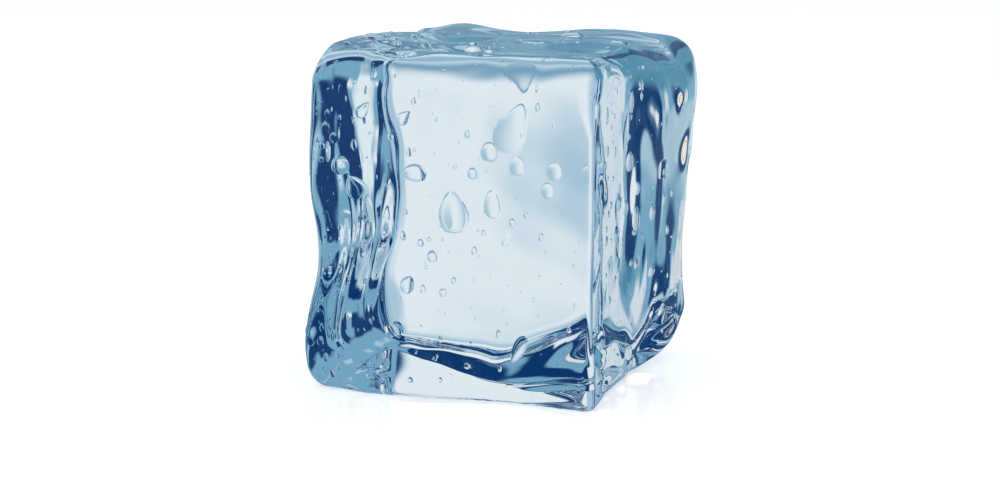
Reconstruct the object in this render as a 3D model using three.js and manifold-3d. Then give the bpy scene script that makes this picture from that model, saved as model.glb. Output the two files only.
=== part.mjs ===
// A clear ice cube that has begun to melt: a block with hollowed and furrowed sides, a waist,
// unevenly rounded edges, a flat base, and beads of melt standing on its skin. It is one solid.
// Millimetres, +Z up. The origin is the middle of the flat base, and the front face looks along -Y.
import * as THREE from "three";
import { mergeVertices } from "three/addons/utils/BufferGeometryUtils.js";
import Module from "manifold-3d";

const width = 40.6;
const depth = 40.4;
const height = 44.4;

const gridCells = 22; // cells along each side of the block
const edgeCrowding = 0.82; // 0 spaces the grid evenly, and nearer 1 it crowds towards the edges
const baseAllowance = 0.4; // ice below z = 0, which the flat base cuts away
const plainRadius = 2.4; // used away from every edge, where it has no effect on the shape
const plainWeight = 1e-3; // what the plain radius counts for, where an edge's own counts for 1
const edgeReach = [0.55, 0.95]; // shares of the half size over which an edge's radius takes hold
const swayLength = 4.5; // a furrow's sideways wave repeats over this length, times two pi
const reach = [0.4, 1.2]; // the surface lies between these shares of the way to the plain block's
const halvings = 30; // how often that stretch is halved to find the surface
const slopeStep = 0.05; // how far to either side the slope of the skin is taken
const weldDistance = 1e-4;

// Each edge is named by the two faces that meet there, and has the radius that it has melted to.
const edgeRadii = [
  { faces: ["front", "left"], radius: 3.2 },
  { faces: ["front", "right"], radius: 0.6 },
  { faces: ["back", "right"], radius: 3.6 },
  { faces: ["back", "left"], radius: 1.2 },
  { faces: ["top", "front"], radius: 5.0 },
  { faces: ["top", "right"], radius: 3.0 },
  { faces: ["top", "back"], radius: 2.4 },
  { faces: ["top", "left"], radius: 1.4 },
  { faces: ["bottom", "front"], radius: 1.2 },
  { faces: ["bottom", "right"], radius: 3.0 },
  { faces: ["bottom", "back"], radius: 2.6 },
  { faces: ["bottom", "left"], radius: 4.5 },
];

// How each face has melted. Hollows go inward, and swells stand out by a negative amount. The numbers
// at and spread run across the face and up it: X or Y, then Z, and on the top and bottom X then Y.
// A long hollow is a furrow, which may lean and sway as it rises.
const meltedFaces = {
  front: [
    { at: [0, 23], spread: [15, 17], inward: 0.7 },
    { at: [-20, 18], spread: [7, 7], inward: 0.5 },
    { at: [8, 1], spread: [7, 4], inward: 1.3 },
    { at: [-9, 2], spread: [9, 4], inward: -0.9 },
    { at: [18, 45], spread: [11, 6], inward: 2.1 },
  ],
  back: [
    { at: [1, 22], spread: [14, 16], inward: 1.2 },
    { at: [-18, 38], spread: [5, 6], inward: 0.5 },
    { at: [-2, 7], spread: [14, 5], inward: -0.6 },
    { at: [19, 36], spread: [7, 9], inward: 0.9 },
    { at: [4, 42], spread: [18, 5], inward: 1.8 },
  ],
  left: [
    { at: [0, 17.5], spread: [60, 6], inward: 0.9 },
    { at: [0, 6], spread: [60, 6], inward: -1.2 },
    { at: [-20, 29], spread: [5, 9], inward: -0.3 },
    { at: [-20, 40], spread: [5, 8], inward: 0.5 },
    { at: [-16, 35], spread: [3, 10], inward: -0.2 },
    { at: [-9, 30], spread: [6, 16], inward: -0.4 },
    { at: [9.5, 33], spread: [6, 11], inward: 1.4, lean: -0.3 },
    { at: [20, 39], spread: [4, 8], inward: -1.6 },
    { at: [20, 14], spread: [4, 7], inward: -1.4 },
    { at: [-11, 13], spread: [5, 7], inward: -0.4 },
    { at: [-4, 15], spread: [2, 14], inward: 0.5, sway: 0.8 },
    { at: [2, 15], spread: [2, 9], inward: -0.5, lean: 0.1, sway: 1 },
    { at: [6, 18], spread: [1.8, 8], inward: 0.5, lean: -0.1, sway: 0.8 },
    { at: [10, 16], spread: [1.8, 10], inward: -0.5, sway: 1 },
    { at: [15, 17], spread: [2.2, 8], inward: 0.5, sway: 0.8 },
  ],
  right: [
    { at: [-7, 24], spread: [14, 70], inward: 1.3 },
    { at: [-5.6, 24], spread: [3.6, 28], inward: 0.38 },
    { at: [-1.5, 26], spread: [2.4, 20], inward: -0.19, sway: 0.4 },
    { at: [-12, 15], spread: [7, 8], inward: 0.4 },
    { at: [2.5, 37], spread: [3, 5], inward: -0.3, lean: -0.1 },
    { at: [4.9, 34.5], spread: [1.8, 4.5], inward: -0.28, lean: -0.2 },
    { at: [5, 11], spread: [2, 4], inward: 0.3 },
    { at: [3, 2], spread: [6, 9], inward: 1.7, lean: -0.2 },
    { at: [20, 14], spread: [12, 12], inward: 0.9 },
    { at: [20, 37], spread: [16, 6], inward: -1.3 },
    { at: [13, 18], spread: [3, 10], inward: -0.35, sway: 1.5 },
  ],
  top: [
    { at: [10, -7.5], spread: [8, 5], inward: 0.6, lean: -0.2 },
    { at: [13, 0.5], spread: [6, 2.4], inward: -0.6, lean: -0.3 },
    { at: [-2, -11.5], spread: [6, 2.6], inward: 0.4 },
    { at: [-3, -7.5], spread: [4, 1.6], inward: -0.35, lean: -0.2 },
    { at: [-12, -8], spread: [4, 2], inward: -0.3 },
    { at: [13.3, 0.6], spread: [2.6, 1.7], inward: 0.22, lean: -0.5 },
    { at: [-7, 2], spread: [5, 4], inward: 0.7 },
    { at: [-20, -20], spread: [3.5, 3.5], inward: 1.6 },
    { at: [-20, -5], spread: [6, 9], inward: -0.5 },
    { at: [-20, 14], spread: [4, 5], inward: 1.2 },
    { at: [-13, 17], spread: [4, 5], inward: -0.4 },
    { at: [-3, 19], spread: [5, 6], inward: 0.6 },
    { at: [9, 17], spread: [9, 8], inward: -0.4 },
    { at: [21, 7], spread: [5, 10], inward: 0.9 },
  ],
  bottom: [
    { at: [-3, 11], spread: [13, 7], inward: 1.7 },
    { at: [9, -2], spread: [6, 5], inward: 0.9 },
    { at: [5, 21], spread: [6, 8], inward: 2.2 },
    { at: [9.5, 21], spread: [3, 8], inward: 1.6 },
    { at: [15, 21], spread: [7, 8], inward: 6.6 },
    { at: [20, 20], spread: [6, 8], inward: 0.9 },
    { at: [-15, -8], spread: [3.5, 5], inward: 0.6 },
  ],
};

// The larger beads, placed one by one. long is the length up the face over the width, taper narrows
// the upper end, turn tips the bead, in degrees, and rise is the height over the radius.
const plainBead = { long: 1.15, taper: 0.12, turn: 0, rise: 0.34 };
const placedBeads = [
  { face: "front", at: [0.5, 24.6], radius: 1.9, long: 1.5, taper: 0.3, rise: 0.26 },
  { face: "front", at: [6.2, 25.9], radius: 1.2, long: 1.6, taper: 0.2, rise: 0.22 },
  { face: "front", at: [5.8, 32.7], radius: 1.3, long: 1.05, rise: 0.26 },
  { face: "front", at: [9.7, 31], radius: 1.15, rise: 0.2 },
  { face: "front", at: [14.7, 30.6], radius: 1.1, rise: 0.22 },
  { face: "front", at: [13.8, 28.1], radius: 0.95, rise: 0.24 },
  { face: "front", at: [-4.8, 29.4], radius: 1.7, long: 0.75, rise: 0.26 },
  { face: "front", at: [-5.9, 14.4], radius: 1, long: 1.3, turn: -20 },
  { face: "front", at: [-15.2, 29.8], radius: 1.35, long: 1, rise: 0.4 },
  { face: "front", at: [-13.2, 27], radius: 1.5, long: 1.1, taper: 0.35, turn: 35, rise: 0.42 },
  { face: "front", at: [-11.8, 37.2], radius: 0.8, long: 1.7, taper: 0.4, turn: -40 },
  { face: "front", at: [-6.1, 36.5], radius: 0.8, long: 1.6, taper: 0.4, turn: -50 },
  { face: "front", at: [9.9, 7.1], radius: 0.9, long: 2.3, taper: -0.25, turn: -28, rise: 0.5 },
  { face: "back", at: [-3, 31], radius: 2.2, long: 1.35, taper: 0.3, turn: 12, rise: 0.12 },
  { face: "back", at: [9, 26], radius: 1.4, rise: 0.2 },
  { face: "back", at: [-11, 19], radius: 1.6, long: 1.4, taper: 0.3, rise: 0.2 },
  { face: "right", at: [-18.4, 38.4], radius: 0.9, long: 1.8 },
  { face: "right", at: [-18, 33.2], radius: 1.05, long: 1.5 },
  { face: "right", at: [-18.3, 27.8], radius: 0.9, long: 1.7 },
  { face: "right", at: [-16.6, 8.2], radius: 1.3, long: 1.4, rise: 0.45 },
  { face: "right", at: [-4.2, 30.4], radius: 0.95, long: 1.5 },
  { face: "right", at: [-2, 22], radius: 1, long: 1.8 },
  { face: "right", at: [9, 6.5], radius: 1.1, long: 1.5, rise: 0.45 },
  { face: "left", at: [-9, 30], radius: 1.3 },
  { face: "left", at: [5, 21], radius: 1.5, long: 1.5, taper: 0.3 },
  { face: "left", at: [13, 36], radius: 1.2 },
  { face: "top", at: [-17.1, -4.5], radius: 1.3 },
  { face: "top", at: [-13.4, -5], radius: 1 },
  { face: "top", at: [-4.5, -11.8], radius: 1.2, long: 0.8 },
  { face: "top", at: [-0.6, -9.8], radius: 1.4, long: 0.7, taper: 0, rise: 0.7 },
  { face: "top", at: [1.8, -10.2], radius: 0.8, long: 0.8, taper: 0, rise: 0.8 },
  { face: "top", at: [15, 3], radius: 1.4 },
  { face: "top", at: [6, 9], radius: 1.7, long: 0.8 },
];
const beadSides = 9;
const beadRings = 8;
const beadSink = 0.4; // share of a bead's height that is sunk in the ice

const facesOf = {
  left: { axis: "x", sign: -1 },
  right: { axis: "x", sign: 1 },
  front: { axis: "y", sign: -1 },
  back: { axis: "y", sign: 1 },
  bottom: { axis: "z", sign: -1 },
  top: { axis: "z", sign: 1 },
};
const acrossAndUp = { x: ["y", "z"], y: ["x", "z"], z: ["x", "y"] };
const lowAndHigh = { x: ["left", "right"], y: ["front", "back"], z: ["bottom", "top"] };
const halfSize = { x: width / 2, y: depth / 2, z: height / 2 };
const centre = new THREE.Vector3(0, 0, height / 2);

// How far a face lies inside the plain block at a point.
function inwardAt(face, point) {
  const [across, up] = acrossAndUp[facesOf[face].axis];
  let inward = 0;
  for (const dent of meltedFaces[face]) {
    const { lean = 0, sway = 0 } = dent;
    const rise = point[up] - dent.at[1];
    const middle = dent.at[0] + lean * rise + sway * Math.sin(rise / swayLength);
    const a = (point[across] - middle) / dent.spread[0];
    const b = rise / dent.spread[1];
    inward += dent.inward * Math.exp(-a * a - b * b);
  }
  return inward;
}

// 0 in the middle of the block and 1 near a face.
function nearness(face, point) {
  const { axis, sign } = facesOf[face];
  const share = (sign * (point[axis] - centre[axis])) / halfSize[axis];
  return THREE.MathUtils.smoothstep(share, ...edgeReach);
}

// The radius of the nearest edges, blended so that it changes smoothly round a corner.
function radiusAt(point) {
  let total = plainWeight;
  let weighted = total * plainRadius;
  for (const { faces, radius } of edgeRadii) {
    const weight = nearness(faces[0], point) * nearness(faces[1], point);
    total += weight;
    weighted += weight * radius;
  }
  return weighted / total;
}

// How far a point lies outside the melted block, which is negative inside it.
function outside(point) {
  const radius = radiusAt(point);
  const past = ["x", "y", "z"].map((axis) => {
    const offset = point[axis] - centre[axis];
    const face = lowAndHigh[axis][offset > 0 ? 1 : 0];
    const allowance = face === "bottom" ? baseAllowance : 0;
    return Math.abs(offset) - halfSize[axis] - allowance + inwardAt(face, point) + radius;
  });
  const beyond = Math.hypot(...past.map((value) => Math.max(value, 0)));
  return beyond + Math.min(Math.max(...past), 0) - radius;
}

// The point of the surface on the ray from the centre, found by halving.
function surfacePoint(direction) {
  let [inner, outer] = reach;
  const point = new THREE.Vector3();
  for (let step = 0; step < halvings; step += 1) {
    const middle = (inner + outer) / 2;
    point.copy(direction).multiplyScalar(middle).add(centre);
    if (outside(point) > 0) outer = middle;
    else inner = middle;
  }
  return point;
}

function crowded(share) {
  const quarter = (edgeCrowding * Math.PI) / 2;
  return Math.sin(share * quarter) / Math.sin(quarter);
}

function blockGeometry() {
  const geometry = new THREE.BoxGeometry(2, 2, 2, gridCells, gridCells, gridCells);
  const position = geometry.getAttribute("position");
  const direction = new THREE.Vector3();
  for (let i = 0; i < position.count; i += 1) {
    direction.set(
      crowded(position.getX(i)) * halfSize.x,
      crowded(position.getY(i)) * halfSize.y,
      crowded(position.getZ(i)) * halfSize.z,
    );
    const point = surfacePoint(direction);
    position.setXYZ(i, point.x, point.y, point.z);
  }
  return geometry;
}

// Everything under z = 0, which the base is cut flat by.
function underBaseGeometry() {
  const geometry = new THREE.BoxGeometry(2 * width, 2 * depth, height);
  return geometry.translate(0, 0, -height / 2);
}

// A point on a face, given as distances across it and up it.
function onFace(face, [across, up]) {
  const { axis, sign } = facesOf[face];
  const [acrossAxis, upAxis] = acrossAndUp[axis];
  const direction = new THREE.Vector3();
  direction[axis] = sign * halfSize[axis];
  direction[acrossAxis] = across;
  direction[upAxis] = up - centre[upAxis];
  return surfacePoint(direction);
}

// The outward normal at a point of the surface, from the slope of outside().
function normalAt(point) {
  const slopes = ["x", "y", "z"].map((axis) => {
    const ahead = point.clone();
    const behind = point.clone();
    ahead[axis] += slopeStep;
    behind[axis] -= slopeStep;
    return outside(ahead) - outside(behind);
  });
  return new THREE.Vector3(...slopes).normalize();
}

// A bead is a low dome, narrower at its upper end, with its lower part sunk in the ice.
function beadGeometry(bead) {
  const { face, at, radius, long, taper, turn, rise } = { ...plainBead, ...bead };
  const geometry = new THREE.SphereGeometry(1, beadSides, beadRings);
  geometry.rotateX(Math.PI / 2);
  const position = geometry.getAttribute("position");
  for (let i = 0; i < position.count; i += 1) {
    position.setX(i, position.getX(i) * (1 - taper * position.getY(i)));
  }
  geometry.scale(radius, radius * long, rise * radius * (1 + beadSink));
  geometry.rotateZ(THREE.MathUtils.degToRad(turn));
  const point = onFace(face, at);
  const normal = normalAt(point);
  const upwards = new THREE.Vector3();
  upwards[acrossAndUp[facesOf[face].axis][1]] = 1;
  const side = new THREE.Vector3().crossVectors(upwards, normal).normalize();
  const along = new THREE.Vector3().crossVectors(normal, side);
  const placed = new THREE.Matrix4().makeBasis(side, along, normal);
  placed.setPosition(point.addScaledVector(normal, -rise * radius * beadSink));
  return geometry.applyMatrix4(placed);
}

const wasm = await Module();
wasm.setup();

function solidOf(geometry) {
  const bare = geometry.clone();
  bare.deleteAttribute("normal");
  bare.deleteAttribute("uv");
  const merged = mergeVertices(bare, weldDistance);
  const mesh = new wasm.Mesh({
    numProp: 3,
    vertProperties: merged.getAttribute("position").array,
    triVerts: new Uint32Array(merged.index.array),
  });
  return new wasm.Manifold(mesh);
}

function geometryOf(solid) {
  const { vertProperties, triVerts } = solid.getMesh();
  const geometry = new THREE.BufferGeometry();
  geometry.setAttribute("position", new THREE.BufferAttribute(vertProperties, 3));
  geometry.setIndex(new THREE.BufferAttribute(triVerts, 1));
  geometry.computeVertexNormals();
  return geometry;
}

let ice = solidOf(blockGeometry()).subtract(solidOf(underBaseGeometry()));
for (const bead of placedBeads) ice = ice.add(solidOf(beadGeometry(bead)));

const clearIce = new THREE.MeshStandardMaterial({ color: 0xcfe3ee, roughness: 0.05, metalness: 0 });
const iceCube = new THREE.Mesh(geometryOf(ice), clearIce);
iceCube.name = "ice_cube";

const part = new THREE.Group();
part.add(iceCube);

export default part;
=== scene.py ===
import math

import bpy
import numpy as np
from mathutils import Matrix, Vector


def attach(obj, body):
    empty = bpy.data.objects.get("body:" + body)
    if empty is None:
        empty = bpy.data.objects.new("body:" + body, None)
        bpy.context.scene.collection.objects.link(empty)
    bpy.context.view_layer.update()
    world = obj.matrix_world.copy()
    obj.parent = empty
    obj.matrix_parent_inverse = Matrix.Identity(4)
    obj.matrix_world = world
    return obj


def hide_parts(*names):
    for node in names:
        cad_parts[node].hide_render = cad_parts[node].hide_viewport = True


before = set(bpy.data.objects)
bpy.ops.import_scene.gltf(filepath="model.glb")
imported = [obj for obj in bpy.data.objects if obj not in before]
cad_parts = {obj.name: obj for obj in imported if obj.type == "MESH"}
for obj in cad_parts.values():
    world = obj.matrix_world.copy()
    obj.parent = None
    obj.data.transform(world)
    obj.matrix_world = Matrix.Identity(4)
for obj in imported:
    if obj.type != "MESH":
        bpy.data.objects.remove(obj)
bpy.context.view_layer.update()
print("frame loaded: nodes", len(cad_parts))
mm = 0.001


class Shade:
    # wraps a node socket, so that shader maths reads as plain Python

    def __init__(self, tree, socket):
        self.tree = tree
        self.socket = socket

    def node(self, kind, inputs=None, output=0, **settings):
        # settings are set first, then the sockets get their values or links
        made = self.tree.nodes.new(kind)
        for name, value in settings.items():
            if name == "stops":
                setStops(made.color_ramp.elements, value)
            else:
                setattr(made, name, value)
        for name, value in (inputs or {}).items():
            if isinstance(value, Shade):
                self.tree.links.new(value.socket, made.inputs[name])
            else:
                made.inputs[name].default_value = value
        return Shade(self.tree, made.outputs[output])

    def math(self, operation, *values):
        return self.node("ShaderNodeMath", dict(enumerate(values)), operation=operation)

    def __add__(self, other):
        return self.math("ADD", self, other)

    def __sub__(self, other):
        return self.math("SUBTRACT", self, other)

    def __rsub__(self, other):
        return self.math("SUBTRACT", other, self)

    def __mul__(self, other):
        return self.math("MULTIPLY", self, other)

    def __truediv__(self, other):
        return self.math("DIVIDE", self, other)

    def __rtruediv__(self, other):
        return self.math("DIVIDE", other, self)

    __radd__ = __add__
    __rmul__ = __mul__


def setStops(elements, stops):
    # a new ramp has two stops, and the others are added
    for number, (place, colour) in enumerate(stops):
        element = elements[number] if number < 2 else elements.new(place)
        element.position = place
        element.color = (*colour, 1)


def mixed(share, first, second):
    # the first colour where share is 0, and the second where it is 1
    return share.node("ShaderNodeMix", {0: share, 6: first, 7: second}, output=2, data_type="RGBA")


def newMaterial(name):
    material = bpy.data.materials.new(name)
    material.use_nodes = True
    return material, material.node_tree.nodes["Principled BSDF"]


# degrees and metres; the camera aims above the middle of the base, and a little to the side and below that
camera = {
    "azimuth": 22.1,
    "elevation": 10.3,
    "distance": 0.357,
    "aimHeight": 0.022,
    "aimRight": -0.00081,
    "aimUp": -0.00569,
    "lens": 95.7,
    "clipStart": 0.01,
}


def makeCamera():
    # back, right and up are the camera's own axes, from its azimuth and elevation
    turn, lift = math.radians(camera["azimuth"]), math.radians(camera["elevation"])
    back = Vector((math.sin(turn) * math.cos(lift), -math.cos(turn) * math.cos(lift), math.sin(lift)))
    right = Vector((math.cos(turn), math.sin(turn), 0))
    up = back.cross(right)
    aim = Vector((0, 0, camera["aimHeight"])) + right * camera["aimRight"] + up * camera["aimUp"]
    data = bpy.data.cameras.new("camera")
    data.lens = camera["lens"]
    data.clip_start = camera["clipStart"]
    made = bpy.data.objects.new("camera", data)
    made.location = aim + back * camera["distance"]
    made.rotation_mode = "QUATERNION"
    made.rotation_quaternion = (-back).to_track_quat("-Z", "Y")
    bpy.context.scene.collection.objects.link(made)
    bpy.context.scene.camera = made
    print("camera placed")


# millimetres; an edge is named by the two faces that meet there, and its radius is what it has melted to
block = {
    "size": (40.6, 40.4, 44.4),
    "gridCells": 100,  # along each side
    "crowding": 0.82,  # 0 spaces the grid evenly, and nearer 1 it crowds towards the edges
    "baseAllowance": 0.4,  # ice below the table's level, which the flat base cuts away
    "plainRadius": 2.4,  # used away from every edge, where it has no effect
    "plainWeight": 1e-3,  # what that radius counts for, where an edge's own counts for 1
    "edgeStart": 0.55,  # the share of the half size at which an edge's radius begins to take hold
    "edgeSpan": 0.4,  # and over which it grows to its full weight
    "reach": (0.4, 1.2),  # the surface lies between these shares of the way to the plain block's
    "halvings": 26,  # how often that stretch is halved to find it
    "slopeStep": 0.05,  # how far to either side the slope of the skin is taken
    "cornerKeys": 1e5,  # whole steps to a unit of the grid, by which corners that coincide are found
    "sharpAngle": 32,  # degrees between two faces, past which their edge shades sharp
    "edgeRadii": {
        ("front", "left"): 3.2,
        ("front", "right"): 0.6,
        ("back", "right"): 3.6,
        ("back", "left"): 1.2,
        ("top", "front"): 5.0,
        ("top", "right"): 3.0,
        ("top", "back"): 2.4,
        ("top", "left"): 1.4,
        ("bottom", "front"): 1.2,
        ("bottom", "right"): 3.0,
        ("bottom", "back"): 2.6,
        ("bottom", "left"): 4.5,
    },
    # how each face has melted: hollows go inwards, and swells stand out by a negative amount;
    # at and spread run across the face and up it, and a long hollow may lean or sway as it rises
    "melted": {
        "front": [
            dict(at=(0, 23), spread=(15, 17), inward=0.7),
            dict(at=(-20, 18), spread=(7, 7), inward=0.5),
            dict(at=(8, 1), spread=(7, 4), inward=1.3),
            dict(at=(-9, 2), spread=(9, 4), inward=-0.9),
            dict(at=(18, 45), spread=(11, 6), inward=2.1),
            dict(at=(-12, 42.5), spread=(3, 1.3), inward=0.25),
            dict(at=(-4, 43), spread=(4, 1.1), inward=-0.2),
            dict(at=(4, 42.5), spread=(3, 1.3), inward=0.25),
        ],
        "back": [
            dict(at=(1, 22), spread=(14, 16), inward=1.2),
            dict(at=(-18, 38), spread=(5, 6), inward=0.5),
            dict(at=(-2, 7), spread=(14, 5), inward=-0.6),
            dict(at=(19, 36), spread=(7, 9), inward=0.9),
            dict(at=(4, 42), spread=(18, 5), inward=1.8),
        ],
        "left": [
            dict(at=(0, 17.5), spread=(60, 6), inward=0.9),
            dict(at=(0, 6), spread=(60, 6), inward=-1.2),
            dict(at=(-20, 29), spread=(5, 9), inward=-0.3),
            dict(at=(-20, 40), spread=(5, 8), inward=0.5),
            dict(at=(-16, 35), spread=(3, 10), inward=-0.2),
            dict(at=(-9, 30), spread=(6, 16), inward=-0.4),
            dict(at=(9.5, 33), spread=(6, 11), inward=1.4, lean=-0.3),
            dict(at=(20, 39), spread=(4, 8), inward=-1.6),
            dict(at=(20, 14), spread=(4, 7), inward=-1.4),
            dict(at=(-11, 13), spread=(5, 7), inward=-0.4),
            dict(at=(-4, 15), spread=(2.0, 14), inward=0.5, sway=0.8),
            dict(at=(2, 15), spread=(2.0, 9), inward=-0.5, lean=0.1, sway=1.0),
            dict(at=(6, 18), spread=(1.8, 8), inward=0.5, lean=-0.1, sway=0.8),
            dict(at=(10, 16), spread=(1.8, 10), inward=-0.5, sway=1.0),
            dict(at=(15, 17), spread=(2.2, 8), inward=0.5, sway=0.8),
        ],
        "right": [
            dict(at=(-7, 24), spread=(14, 70), inward=1.3),
            dict(at=(-5.6, 24), spread=(3.6, 28), inward=0.38),
            dict(at=(-1.5, 26), spread=(2.4, 20), inward=-0.19, sway=0.4),
            dict(at=(-12, 15), spread=(7, 8), inward=0.4),
            dict(at=(2.5, 37), spread=(3, 5), inward=-0.3, lean=-0.1),
            dict(at=(4.9, 34.5), spread=(1.8, 4.5), inward=-0.28, lean=-0.2),
            dict(at=(5, 11), spread=(2, 4), inward=0.3),
            dict(at=(3, 2), spread=(6, 9), inward=1.7, lean=-0.2),
            dict(at=(20, 14), spread=(12, 12), inward=0.9),
            dict(at=(20, 37), spread=(16, 6), inward=-1.3),
            dict(at=(15.4, 29.5), spread=(1.5, 2.6), inward=-0.6),
            dict(at=(11, 36.5), spread=(1, 1.2), inward=-0.26),
            dict(at=(13, 18), spread=(3, 10), inward=-0.35, sway=1.5),
            dict(at=(6.5, 23), spread=(0.9, 6), inward=-0.14, sway=0.4),
            dict(at=(10.2, 13), spread=(0.8, 5), inward=-0.12, sway=0.5),
            dict(at=(1.5, 15), spread=(0.8, 4), inward=-0.12, lean=0.1),
        ],
        "top": [
            dict(at=(10, -7.5), spread=(8, 5), inward=0.6, lean=-0.2),
            dict(at=(13, 0.5), spread=(6, 2.4), inward=-0.6, lean=-0.3),
            dict(at=(-2, -11.5), spread=(6, 2.6), inward=0.4),
            dict(at=(-3, -7.5), spread=(4, 1.6), inward=-0.35, lean=-0.2),
            dict(at=(-12, -8), spread=(4, 2), inward=-0.3),
            dict(at=(-0.7, -12.4), spread=(2.6, 1.4), inward=0.2),
            dict(at=(3, -14.5), spread=(1.3, 1.1), inward=0.8),
            dict(at=(-7.5, -16), spread=(2.2, 1.3), inward=0.8),
            dict(at=(4, 0.5), spread=(3, 1.1), inward=0.5, lean=1),
            dict(at=(9.5, 3), spread=(3.5, 1), inward=0.5),
            dict(at=(13.3, 0.6), spread=(2.6, 1.7), inward=0.22, lean=-0.5),
            dict(at=(18, -8), spread=(1, 3), inward=0.5, lean=0.4),
            dict(at=(-7, 2), spread=(5, 4), inward=0.7),
            dict(at=(-20, -20), spread=(3.5, 3.5), inward=1.6),
            dict(at=(-20, -5), spread=(6, 9), inward=-0.5),
            dict(at=(-20, 14), spread=(4, 5), inward=1.2),
            dict(at=(-13, 17), spread=(4, 5), inward=-0.4),
            dict(at=(-3, 19), spread=(5, 6), inward=0.6),
            dict(at=(9, 17), spread=(9, 8), inward=-0.4),
            dict(at=(21, 7), spread=(5, 10), inward=0.9),
        ],
        "bottom": [
            dict(at=(-3, 11), spread=(13, 7), inward=1.7),
            dict(at=(9, -2), spread=(6, 5), inward=0.9),
            dict(at=(5, 21), spread=(6, 8), inward=2.2),
            dict(at=(9.5, 21), spread=(3, 8), inward=1.6),
            dict(at=(15, 21), spread=(7, 8), inward=6.6),
            dict(at=(20, 20), spread=(6, 8), inward=0.9),
            dict(at=(-15, -8), spread=(3.5, 5), inward=0.6),
        ],
    },
    "swayLength": 4.5,  # a hollow's sideways wave repeats over this length, times two pi
    # slight waves all over the skin: how many to the millimetre along each axis, their phase and height
    "skinWaves": [
        ((0.10, 0.05, 0.03), 9.0, 0.030),
        ((-0.04, 0.13, 0.07), 7.2, 0.024),
        ((0.07, -0.06, 0.15), 5.4, 0.018),
        ((0.19, 0.11, -0.05), 4.2, 0.014),
        ((-0.12, 0.17, 0.09), 3.6, 0.012),
    ],
}
# each face: the axis it looks along, which way, and the axes across it and up it
faceAxes = {
    "left": (0, -1, 1, 2),
    "right": (0, 1, 1, 2),
    "front": (1, -1, 0, 2),
    "back": (1, 1, 0, 2),
    "bottom": (2, -1, 0, 1),
    "top": (2, 1, 0, 1),
}
lowAndHigh = [("left", "right"), ("front", "back"), ("bottom", "top")]
halfSize = np.array(block["size"]) / 2
centre = np.array([0, 0, halfSize[2]])


def inwardAt(face, points):
    # the sum of the face's hollows and swells, each a bell: exp(-a^2 - b^2), where a and b are the
    # distances across and up from its middle line, over its spreads
    _, _, across, up = faceAxes[face]
    total = np.zeros(len(points))
    for dent in block["melted"][face]:
        rise = points[:, up] - dent["at"][1]
        line = dent["at"][0] + dent.get("lean", 0) * rise
        line = line + dent.get("sway", 0) * np.sin(rise / block["swayLength"])
        a = (points[:, across] - line) / dent["spread"][0]
        b = rise / dent["spread"][1]
        total += dent["inward"] * np.exp(-a * a - b * b)
    return total


def nearness(face, points):
    # 0 in the middle of the block and 1 near the face, by a smooth step of the share of the way there
    axis, sign, _, _ = faceAxes[face]
    share = sign * (points[:, axis] - centre[axis]) / halfSize[axis]
    share = np.clip((share - block["edgeStart"]) / block["edgeSpan"], 0, 1)
    return share * share * (3 - 2 * share)


def radiusAt(points):
    # the edges' radii, averaged by how near a point is to both faces of each edge
    near = {face: nearness(face, points) for face in faceAxes}
    total = np.full(len(points), block["plainWeight"])
    weighted = total * block["plainRadius"]
    for (first, second), radius in block["edgeRadii"].items():
        weight = near[first] * near[second]
        total = total + weight
        weighted = weighted + weight * radius
    return weighted / total


def waviness(points):
    # the sum of the skin's sine waves
    total = np.zeros(len(points))
    for along, phase, height in block["skinWaves"]:
        total += height * np.sin(math.tau * (points @ np.array(along)) + phase)
    return total


def outside(points):
    # distance outside a box with rounded edges, whose faces are moved inwards by their hollows
    radius = radiusAt(points)
    past = []
    for axis, (low, high) in enumerate(lowAndHigh):
        offset = points[:, axis] - centre[axis]
        inward = np.where(offset > 0, inwardAt(high, points), inwardAt(low, points))
        if low == "bottom":
            inward = inward - np.where(offset > 0, 0, block["baseAllowance"])
        past.append(np.abs(offset) - halfSize[axis] + inward + radius)
    past = np.array(past)
    beyond = np.sqrt((np.maximum(past, 0) ** 2).sum(0))
    return beyond + np.minimum(past.max(0), 0) - radius - waviness(points)


def surfacePoints(directions):
    # where the ray from the centre leaves the block, found by halving
    inner, outer = (np.full(len(directions), share) for share in block["reach"])
    for _ in range(block["halvings"]):
        middle = (inner + outer) / 2
        isOut = outside(centre + directions * middle[:, None]) > 0
        outer = np.where(isOut, middle, outer)
        inner = np.where(isOut, inner, middle)
    return centre + directions * ((inner + outer) / 2)[:, None]


def normalsAt(points):
    # how outside() grows along each axis, made one long
    steps = block["slopeStep"] * np.eye(3)
    normals = np.stack([outside(points + step) - outside(points - step) for step in steps], 1)
    return normals / np.linalg.norm(normals, axis=1, keepdims=True)


def crowded(share):
    # moves even places from -1 to 1 towards both ends, by the first part of a sine
    quarter = block["crowding"] * math.pi / 2
    return np.sin(share * quarter) / math.sin(quarter)


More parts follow.
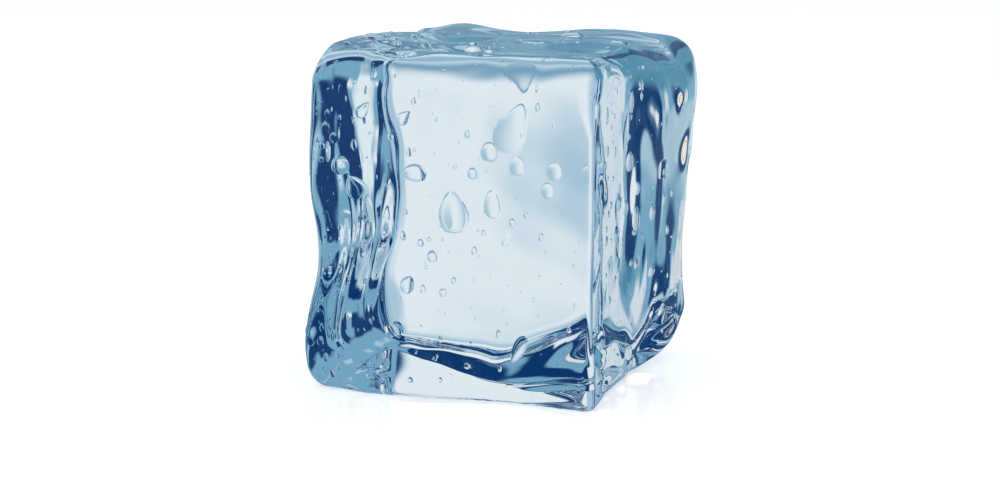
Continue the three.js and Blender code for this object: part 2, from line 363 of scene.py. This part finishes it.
def blockGrid(cells):
    # a square grid on each side of a cube from -1 to 1, with the sides joined along the edges
    places = np.linspace(-1, 1, cells + 1)
    across, up = (grid.ravel() for grid in np.meshgrid(places, places, indexing="ij"))
    corner = (np.arange(cells)[:, None] * (cells + 1) + np.arange(cells)).ravel()
    quads = np.stack([corner, corner + cells + 1, corner + cells + 2, corner + 1], 1)
    vertices, faces = [], []
    for number, (axis, sign, acrossAxis, upAxis) in enumerate(faceAxes.values()):
        side = np.full((len(across), 3), float(sign))
        side[:, acrossAxis] = across
        side[:, upAxis] = up
        facesOut = sign * (-1 if axis == 1 else 1) > 0
        faces.append((quads if facesOut else quads[:, ::-1]) + number * len(across))
        vertices.append(side)
    vertices, faces = np.concatenate(vertices), np.concatenate(faces)
    cornerKeys = np.round((vertices + 1) * block["cornerKeys"]).astype(np.int64)
    _, first, shared = np.unique(cornerKeys, axis=0, return_index=True, return_inverse=True)
    return vertices[first], shared.reshape(-1)[faces]


def meshObject(name, points, faces):
    # points are in millimetres, and each face is a list of their numbers
    mesh = bpy.data.meshes.new(name)
    mesh.from_pydata((points * mm).tolist(), [], faces)
    mesh.update()
    made = bpy.data.objects.new(name, mesh)
    bpy.context.scene.collection.objects.link(made)
    return made


def makeBlock():
    grid, quads = blockGrid(block["gridCells"])
    points = surfacePoints(crowded(grid) * halfSize)
    points[:, 2] = np.maximum(points[:, 2], 0)  # the flat base
    made = meshObject("clear_ice_cube", points, quads.tolist())
    print("block made:", len(quads), "faces")
    return made


# beads of melt, on the face where they stand, at (across, up), in millimetres
melt = {
    # a plain bead: long is length over width, taper narrows the upper end, turn is in degrees, and rise is
    # height over radius; the others say what differs from it
    "plainBead": dict(long=1.15, taper=0.12, turn=0, rise=0.34),
    "placed": [
        dict(face="front", at=(0.5, 24.6), radius=1.9, long=1.5, taper=0.3, rise=0.26),
        dict(face="front", at=(6.2, 25.9), radius=1.2, long=1.6, taper=0.2, rise=0.22),
        dict(face="front", at=(5.8, 32.7), radius=1.3, long=1.05, rise=0.26),
        dict(face="front", at=(9.7, 31), radius=1.15, rise=0.2),
        dict(face="front", at=(14.7, 30.6), radius=1.1, rise=0.22),
        dict(face="front", at=(13.8, 28.1), radius=0.95, rise=0.24),
        dict(face="front", at=(-4.8, 29.4), radius=1.7, long=0.75, rise=0.26),
        dict(face="front", at=(-5.9, 14.4), radius=1, long=1.3, turn=-20),
        dict(face="front", at=(-15.2, 29.8), radius=1.35, long=1, rise=0.4),
        dict(face="front", at=(-13.2, 27), radius=1.5, long=1.1, taper=0.35, turn=35, rise=0.42),
        dict(face="front", at=(-11.8, 37.2), radius=0.8, long=1.7, taper=0.4, turn=-40),
        dict(face="front", at=(-6.1, 36.5), radius=0.8, long=1.6, taper=0.4, turn=-50),
        dict(face="front", at=(9.9, 7.1), radius=0.9, long=2.3, taper=-0.25, turn=-28, rise=0.5),
        dict(face="back", at=(-3, 31), radius=2.2, long=1.35, taper=0.3, turn=12, rise=0.12),
        dict(face="back", at=(9, 26), radius=1.4, rise=0.2),
        dict(face="back", at=(-11, 19), radius=1.6, long=1.4, taper=0.3, rise=0.2),
        dict(face="right", at=(-18.4, 38.4), radius=0.9, long=1.8),
        dict(face="right", at=(-18, 33.2), radius=1.05, long=1.5),
        dict(face="right", at=(-18.3, 27.8), radius=0.9, long=1.7),
        dict(face="right", at=(-16.6, 8.2), radius=1.3, long=1.4, rise=0.45),
        dict(face="right", at=(-4.2, 30.4), radius=0.95, long=1.5),
        dict(face="right", at=(-2, 22), radius=1, long=1.8),
        dict(face="right", at=(9, 6.5), radius=1.1, long=1.5, rise=0.45),
        dict(face="left", at=(-9, 30), radius=1.3),
        dict(face="left", at=(5, 21), radius=1.5, long=1.5, taper=0.3),
        dict(face="left", at=(13, 36), radius=1.2),
        dict(face="top", at=(-17.1, -4.5), radius=1.3),
        dict(face="top", at=(-13.4, -5), radius=1),
        dict(face="top", at=(-4.5, -11.8), radius=1.2, long=0.8),
        dict(face="top", at=(-0.6, -9.8), radius=1.4, long=0.7, taper=0, rise=0.7),
        dict(face="top", at=(1.8, -10.2), radius=0.8, long=0.8, taper=0, rise=0.8),
        dict(face="top", at=(15, 3), radius=1.4),
        dict(face="top", at=(6, 9), radius=1.7, long=0.8),
    ],
    "small": [
        dict(face="front", at=(-17.2, 34.4), radius=0.65, long=1.6),
        dict(face="front", at=(-16.1, 33.3), radius=0.62, long=1.3),
        dict(face="front", at=(-17.8, 32.2), radius=0.5),
        dict(face="front", at=(-17.9, 30.4), radius=0.4),
        dict(face="front", at=(-14.7, 23.4), radius=0.75, long=0.8, turn=-30),
        dict(face="front", at=(-14.9, 39.6), radius=0.32, long=2.6),
        dict(face="front", at=(-5.6, 32.1), radius=0.42, long=1.6),
        dict(face="front", at=(-2.4, 18.4), radius=0.75),
        dict(face="front", at=(-4.1, 20.1), radius=0.5),
        dict(face="front", at=(-0.8, 13.7), radius=0.6, turn=-30),
        dict(face="front", at=(3.4, 29.8), radius=0.75),
        dict(face="front", at=(8.1, 21.5), radius=0.5, long=2.4, turn=-25, rise=0.2),
        dict(face="right", at=(-14.5, 37.9), radius=0.5, long=2.2),
        dict(face="right", at=(-14, 33), radius=0.5, long=1.6),
        dict(face="right", at=(-15, 27), radius=0.45, long=1.4),
        dict(face="right", at=(-14.1, 22.4), radius=0.4, long=1.3),
        dict(face="right", at=(-4.2, 38.6), radius=0.6, long=2.4),
        dict(face="right", at=(-8.1, 25.2), radius=1.0, long=1.2, rise=0.4),
        dict(face="right", at=(-5.2, 24.1), radius=0.8, long=1.5, taper=0.3, rise=0.4),
        dict(face="right", at=(3.6, 22.1), radius=0.9, long=1.4, taper=0.3, rise=0.4),
        dict(face="right", at=(-9.1, 20.9), radius=1.0, turn=-30, rise=0.45),
        dict(face="right", at=(-7.5, 16), radius=0.6, long=2, turn=-25, rise=0.45),
        dict(face="right", at=(-1.5, 15.5), radius=0.7, rise=0.4),
        dict(face="right", at=(4.7, 13.5), radius=0.95, rise=0.45),
        dict(face="right", at=(-1.8, 26.2), radius=0.6, long=1.6, rise=0.4),
        dict(face="right", at=(9.6, 18.7), radius=0.5, long=1.5, rise=0.45),
        dict(face="right", at=(7.7, 23.2), radius=0.6, long=1.8, rise=0.45),
        dict(face="front", at=(-8.1, 1.8), radius=0.9, long=1.2, rise=0.5),
        dict(face="front", at=(-8.3, 4.5), radius=0.7, long=1.4, turn=-30, rise=0.5),
        dict(face="front", at=(-10.2, 3.4), radius=0.6, long=1.2, rise=0.5),
        dict(face="front", at=(-7.1, 8.7), radius=0.75, long=1.4, turn=30, rise=0.5),
    ],
    # small beads scattered in patches: how many places are tried, the box they lie in, their least and
    # greatest radius, how strongly they crowd towards the low end of across, and how high they stand
    "scattered": [
        dict(face="front", count=22, across=(-18.2, -14), up=(2.2, 8.5), sizes=(0.35, 0.85), rise=0.5),
        dict(face="right", count=30, across=(-18.8, -10.2), up=(10.5, 41), sizes=(0.28, 0.62), rise=0.45),
        dict(face="top", count=18, across=(-17.5, -6), up=(-17, 3), sizes=(0.35, 0.7), rise=0.8),
        dict(face="front", count=150, across=(-19, 19), up=(2, 43), crowd=1.9),
        dict(face="right", count=110, across=(-19, 19), up=(2, 43), crowd=1.5),
        dict(face="left", count=70, across=(-18, 18), up=(3, 42)),
        dict(face="back", count=60, across=(-18, 18), up=(3, 42)),
        dict(face="top", count=50, across=(-18, 18), up=(-18, 18)),
    ],
    # a plain patch; its beads are up to 1 + stretch long, and a higher fewLarge leaves fewer large ones
    "plainPatch": dict(sizes=(0.13, 0.5), crowd=1.0, rise=0.34, taper=0.25, stretch=0.8, fewLarge=3),
    "sidesAndRings": {"placed": (26, 12), "small": (14, 7)},
    "sink": 0.4,  # the share of a bead's height that is sunk in the ice
    "apart": 1.25,  # how far apart scattered beads stay, over the sum of their radii
    # steps of the golden kind, which spread places evenly: for across, up, radius and length
    "goldenSteps": (0.7548776662, 0.5698402910, 0.6180339887, 0.4142135624),
}


def scatteredBeads(patch, taken):
    # each place is the one before it plus the golden steps, in shares of the patch, less any whole number;
    # a bead that would touch another one is left out
    patch = melt["plainPatch"] | patch
    shares = (0.5 + np.arange(1, patch["count"] + 1)[:, None] * np.array(melt["goldenSteps"])) % 1
    (left, right), (low, high), (least, most) = patch["across"], patch["up"], patch["sizes"]
    across = left + (right - left) * shares[:, 0] ** patch["crowd"]
    up = low + (high - low) * shares[:, 1]
    radii = least + (most - least) * shares[:, 2] ** patch["fewLarge"]
    longs = 1 + patch["stretch"] * shares[:, 3]
    shape = {name: patch[name] for name in ("face", "taper", "rise")}
    for *at, radius, long in zip(across, up, radii, longs):
        if all(math.dist(at, other) > melt["apart"] * (radius + reach) for other, reach in taken):
            taken.append((at, radius))
            yield shape | dict(at=at, radius=radius, long=long)


def beadSurface(sides, rings):
    # a unit ball: rings from pole to pole at even angles, sides round the pole, and a point at each pole
    lift = np.pi * np.arange(1, rings) / rings
    turn = math.tau * np.arange(sides) / sides
    lift, turn = (grid.ravel() for grid in np.meshgrid(lift, turn, indexing="ij"))
    points = np.stack([np.sin(lift) * np.cos(turn), np.sin(lift) * np.sin(turn), np.cos(lift)], 1)
    ring = np.arange(sides)
    following = (ring + 1) % sides
    band = np.stack([ring, sides + ring, sides + following, following], 1)
    ringStarts = sides * np.arange(rings - 1)
    quads = (band + ringStarts[:-1, None, None]).reshape(-1, 4)
    top = np.full(sides, len(points))
    topFan = np.stack([top, ring, following], 1)
    lowFan = np.stack([top + 1, ringStarts[-1] + following, ringStarts[-1] + ring], 1)
    return np.concatenate([points, [[0, 0, 1], [0, 0, -1]]]), [quads, topFan, lowFan]


def beadsObject(name, beads, sides, rings):
    # each bead is the ball made narrower towards its upper end, by 1 - taper * y, scaled, sunk, tipped
    # and laid on the skin: sideways and lengthways along the face, and its height along the normal
    ball, ballFaces = beadSurface(sides, rings)
    beads = [melt["plainBead"] | bead for bead in beads]
    directions = np.zeros((len(beads), 3))
    upwards = np.zeros((len(beads), 3))
    for row, bead in enumerate(beads):
        axis, sign, across, up = faceAxes[bead["face"]]
        directions[row, axis] = sign * halfSize[axis]
        directions[row, across] = bead["at"][0]
        directions[row, up] = bead["at"][1] - centre[up]
        upwards[row, up] = 1
    places = surfacePoints(directions)
    normals = normalsAt(places)
    sideways = np.cross(upwards, normals)
    sideways /= np.linalg.norm(sideways, axis=1, keepdims=True)
    lengthways = np.cross(normals, sideways)
    points, faces = [], []
    for row, bead in enumerate(beads):
        radius, height = bead["radius"], bead["rise"] * bead["radius"]
        x = radius * ball[:, 0] * (1 - bead["taper"] * ball[:, 1])
        y = radius * bead["long"] * ball[:, 1]
        z = height * ((1 + melt["sink"]) * ball[:, 2] - melt["sink"])
        tip = math.radians(bead["turn"])
        x, y = x * math.cos(tip) - y * math.sin(tip), x * math.sin(tip) + y * math.cos(tip)
        onSkin = np.outer(x, sideways[row]) + np.outer(y, lengthways[row])
        points.append(places[row] + onSkin + np.outer(z, normals[row]))
        for corners in ballFaces:
            faces += (corners + row * len(ball)).tolist()
    return meshObject(name, np.concatenate(points), faces)


def joinBeads(iceCube, group, beads):
    drops = beadsObject(group + "_beads", beads, *melt["sidesAndRings"][group])
    union = iceCube.modifiers.new(group, "BOOLEAN")
    union.operation = "UNION"
    union.solver = "MANIFOLD"
    union.object = drops
    bpy.context.view_layer.objects.active = iceCube
    bpy.ops.object.modifier_apply(modifier=union.name)
    bpy.data.objects.remove(drops)
    print(group, "beads joined:", len(beads), "and faces now:", len(iceCube.data.polygons))


def makeIceCube():
    iceCube = makeBlock()
    iceCube.data.materials.append(makeClearIce())
    taken = {face: [] for face in faceAxes}
    for bead in melt["placed"] + melt["small"]:
        reach = bead["radius"] * max(1, bead.get("long", melt["plainBead"]["long"]))
        taken[bead["face"]].append((bead["at"], reach))
    tinyBeads = []
    for patch in melt["scattered"]:
        tinyBeads += scatteredBeads(patch, taken[patch["face"]])
    joinBeads(iceCube, "placed", melt["placed"])
    joinBeads(iceCube, "small", melt["small"] + tinyBeads)
    iceCube.data.shade_smooth()
    iceCube.data.set_sharp_from_angle(angle=math.radians(block["sharpAngle"]))
    return iceCube


# clear ice: tint and density colour what passes through its depth
ice = {"ior": 1.31, "tint": (0.55, 0.78, 0.93), "density": 9.0, "roughness": 0.0}


def makeClearIce():
    material, shader = newMaterial("clear_ice")
    shader.inputs["Base Color"].default_value = (1, 1, 1, 1)
    shader.inputs["Transmission Weight"].default_value = 1
    shader.inputs["IOR"].default_value = ice["ior"]
    shader.inputs["Roughness"].default_value = ice["roughness"]
    tree = material.node_tree
    depth = {"Color": (*ice["tint"], 1), "Density": ice["density"]}
    volume = Shade(tree, None).node("ShaderNodeVolumeAbsorption", depth)
    tree.links.new(volume.socket, tree.nodes["Material Output"].inputs["Volume"])
    return material


# the studio round the cube, by azimuth from +Y towards +X and by elevation, in degrees
studio = {
    "white": (1.0, 1.0, 1.0),
    # what the ice shows: pale panels that stand round it, with dark cards between them
    "pale": (0.88, 0.905, 0.905),
    "shade": (0.44, 0.60, 0.70),
    "middle": (0.20, 0.41, 0.56),
    "deep": (0.08, 0.26, 0.39),
    "navy": (0.002, 0.034, 0.14),
    # the pale panels' azimuths and half widths, with that of their bright middles
    "panels": [(-22, 26, 5), (69, 22, 16), (158, 26, 5), (-110.75, 42.75, 39)],
    # the dark cards' azimuths and half widths
    "cards": [(29, 9.5), (113, 10), (195, 9), (-55.5, 1.5)],
    "softness": 3.0,
    # thin stripes of split light beside the narrow card: tone, azimuth and half width
    "stripes": [
        ((0.88, 0.905, 0.905), -51.6, 0.8),
        ((0.86, 0.45, 0.20), -50.5, 0.3),
        ((0.80, 0.85, 0.70), -49.6, 0.4),
        ((0.88, 0.905, 0.905), -48.6, 0.5),
        ((0.12, 0.50, 0.75), -47.5, 0.3),
        ((0.01, 0.10, 0.55), -46.3, 0.9),
    ],
    "stripeSoftness": 0.4,
    # the bright middles: their elevation and half height, and how soft they are
    "glow": (-11, 5, 12),
    # and the clouding of their light: its scale, detail and depth
    "clouds": (5.0, 2.0, 0.25),
    # tones below the horizon, by elevation
    "lowTones": [
        (-90, (0.88, 0.905, 0.905)),
        (-76, (0.80, 0.86, 0.88)),
        (-71, (0.20, 0.40, 0.55)),
        (-66, (0.01, 0.05, 0.16)),
        (-61, (0.03, 0.10, 0.22)),
        (-57, (0.05, 0.18, 0.32)),
        (-52, (0.20, 0.39, 0.51)),
        (-49, (0.04, 0.17, 0.30)),
        (-46.5, (0.12, 0.28, 0.40)),
        (-44, (0.45, 0.62, 0.70)),
        (-40, (0.45, 0.62, 0.70)),
        (-36, (0.85, 0.92, 0.94)),
        (-33, (0.38, 0.54, 0.64)),
        (-29, (0.30, 0.47, 0.58)),
        (-26, (0.58, 0.71, 0.77)),
        (-22, (0.22, 0.39, 0.52)),
    ],
    # the low tones give way to the panels and cards between these elevations
    "lowBlue": (-21, -14.5),
    # and the panels and cards to the dark card overhead between these
    "highCard": (17, 20),
    # patches over all of this, in order: tone, azimuth, elevation, half width, half height and softness
    "patches": [
        ("middle", 32, 30, 26, 10, 6),
        ("middle", -1, 29, 8, 9, 4),
        ("shade", 3, 33, 5, 2, 3),
        ("middle", 50, 18, 12, 18, 5),
        ("pale", 95, 32, 14, 13, 4),
        ("pale", -20, 12, 9, 4, 3),
        ("middle", 105, 56, 20, 8, 4),
        ("navy", -97, 15, 5, 7, 3),
        ("pale", -130, 21, 14, 9, 3),
        ("pale", -49, 31, 10, 7, 4),
        ("pale", -66, 34, 8, 6, 4),
        ("shade", -64, -1, 5, 5, 3),
        ("shade", -15, -4, 2.5, 3.5, 7),
        ("pale", -112, -16, 40, 5, 4),
        ("pale", 8, -24, 9, 3, 3),
        ("shade", -16, -49, 9, 6, 3),
        ("deep", -31, -45, 6, 2.5, 1.5),
        ("pale", 42, -15, 2, 4, 2),
        ("middle", -80, -1, 10, 3, 2.5),
        ("shade", 6, -4, 5, 10, 6),
        ("middle", 21, -16, 7, 4, 3),
        ("middle", 40, -18, 9, 4, 3),
        ("middle", -40, 52, 25, 5, 3),
        ("middle", -18, 28, 6, 4, 3),
        ("navy", 38, -22.5, 14, 1.5, 1.5),
        ("pale", 20, 82, 80, 19, 6),
        ("deep", -60, -33, 18, 17, 4),
        ("navy", -58, -34, 9, 4, 2),
    ],
    # what the skin mirrors, below and above the horizon, and the elevations between which it changes
    "mirroredLow": (0.10, 0.25, 0.38),
    "mirroredHigh": (0.31, 0.49, 0.61),
    "horizon": (-6, 6),
}


def tone(name):
    return (*studio[name], 1)


def past(value, edge):
    # 0 before the first edge value and 1 past the second, by a smooth step
    ends = {0: value, 1: edge[0], 2: edge[1]}
    return value.node("ShaderNodeMapRange", ends, interpolation_type="SMOOTHSTEP")


def within(value, middle, half, soft):
    # 1 where value lies less than half away from middle, round the circle, and 0 from soft beyond that
    aside = value.math("ABSOLUTE", value.math("WRAP", value - middle, 180, -180))
    return past(aside, (half + soft, half))


def makeStudio():
    world = bpy.data.worlds.new("studio")
    bpy.context.scene.world = world
    world.use_nodes = True
    tree = world.node_tree
    shade = Shade(tree, None)
    direction = shade.node("ShaderNodeTexCoord")
    x, y, z = (shade.node("ShaderNodeSeparateXYZ", {0: direction}, output=i) for i in range(3))
    azimuth = shade.math("ARCTAN2", x, y) * (180 / math.pi)
    elevation = shade.math("ARCSINE", z) * (180 / math.pi)
    # the panels and cards, over a middle tone
    glowLift, glowHeight, glowSoft = studio["glow"]
    cloudScale, cloudDetail, cloudDepth = studio["clouds"]
    cloudInputs = {"Vector": direction, "Scale": cloudScale, "Detail": cloudDetail}
    cloud = shade.node("ShaderNodeTexNoise", cloudInputs)
    glow = within(elevation, glowLift, glowHeight, glowSoft) * (1 + cloudDepth * (cloud - 0.5))
    colour = shade.node("ShaderNodeRGB")
    colour.socket.default_value = tone("middle")
    for turn, halfWidth, core in studio["panels"]:
        bright = mixed(within(azimuth, turn, core, glowSoft) * glow, tone("shade"), tone("pale"))
        colour = mixed(within(azimuth, turn, halfWidth, studio["softness"]), colour, bright)
    for turn, halfWidth in studio["cards"]:
        colour = mixed(within(azimuth, turn, halfWidth, studio["softness"]), colour, tone("navy"))
    for stripe, turn, halfWidth in studio["stripes"]:
        colour = mixed(within(azimuth, turn, halfWidth, studio["stripeSoftness"]), colour, (*stripe, 1))
    # the low tones, the dark card overhead and the patches
    lowTones = [(lift / 90 + 1, lowTone) for lift, lowTone in studio["lowTones"]]
    below = shade.node("ShaderNodeValToRGB", {0: elevation / 90 + 1}, stops=lowTones)
    colour = mixed(past(elevation, studio["lowBlue"]), below, colour)
    colour = mixed(past(elevation, studio["highCard"]), colour, tone("navy"))
    for name, turn, lift, halfWidth, halfHeight, soft in studio["patches"]:
        patch = within(azimuth, turn, halfWidth, soft) * within(elevation, lift, halfHeight, soft)
        colour = mixed(patch, colour, tone(name))
    # rays that come out of the ice see all this, those mirrored by its skin a plain tone, and others white
    mirrored = mixed(past(elevation, studio["horizon"]), tone("mirroredLow"), tone("mirroredHigh"))
    isThroughIce = shade.node("ShaderNodeLightPath", output="Is Transmission Ray")
    isMirrored = shade.node("ShaderNodeLightPath", output="Is Glossy Ray")
    colour = mixed(isThroughIce, mixed(isMirrored, tone("white"), mirrored), colour)
    tree.links.new(colour.socket, tree.nodes["Background"].inputs["Color"])
    print("studio lit:", len(studio["patches"]), "patches")


# millimetres; it lies a hair lower than the base, and glows a little, as a table lit from below
table = {"halfSize": 3000, "drop": 0.05, "colour": (0.87, 0.87, 0.87), "roughness": 0.12, "glow": 0.45}


def makeTable():
    corners = np.array([[-1, -1, 0], [1, -1, 0], [1, 1, 0], [-1, 1, 0]]) * float(table["halfSize"])
    corners[:, 2] = -table["drop"]
    made = meshObject("table", corners, [[0, 1, 2, 3]])
    material, shader = newMaterial("pale_table")
    shader.inputs["Base Color"].default_value = (*table["colour"], 1)
    shader.inputs["Roughness"].default_value = table["roughness"]
    shader.inputs["Emission Color"].default_value = (1, 1, 1, 1)
    shader.inputs["Emission Strength"].default_value = table["glow"]
    made.data.materials.append(material)
    made.visible_transmission = False
    made.visible_glossy = False
    print("table laid")


makeCamera()
makeStudio()
makeTable()
iceCube = makeIceCube()
print("ice finished: triangles", sum(len(face.vertices) - 2 for face in iceCube.data.polygons))
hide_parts("ice_cube")
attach(iceCube, "root")

lightBounces = 32  # light crosses the clear cube many times
scene = bpy.context.scene
scene.view_settings.view_transform = "Standard"
scene.cycles.max_bounces = lightBounces
scene.cycles.transmission_bounces = lightBounces
scene.cycles.glossy_bounces = lightBounces
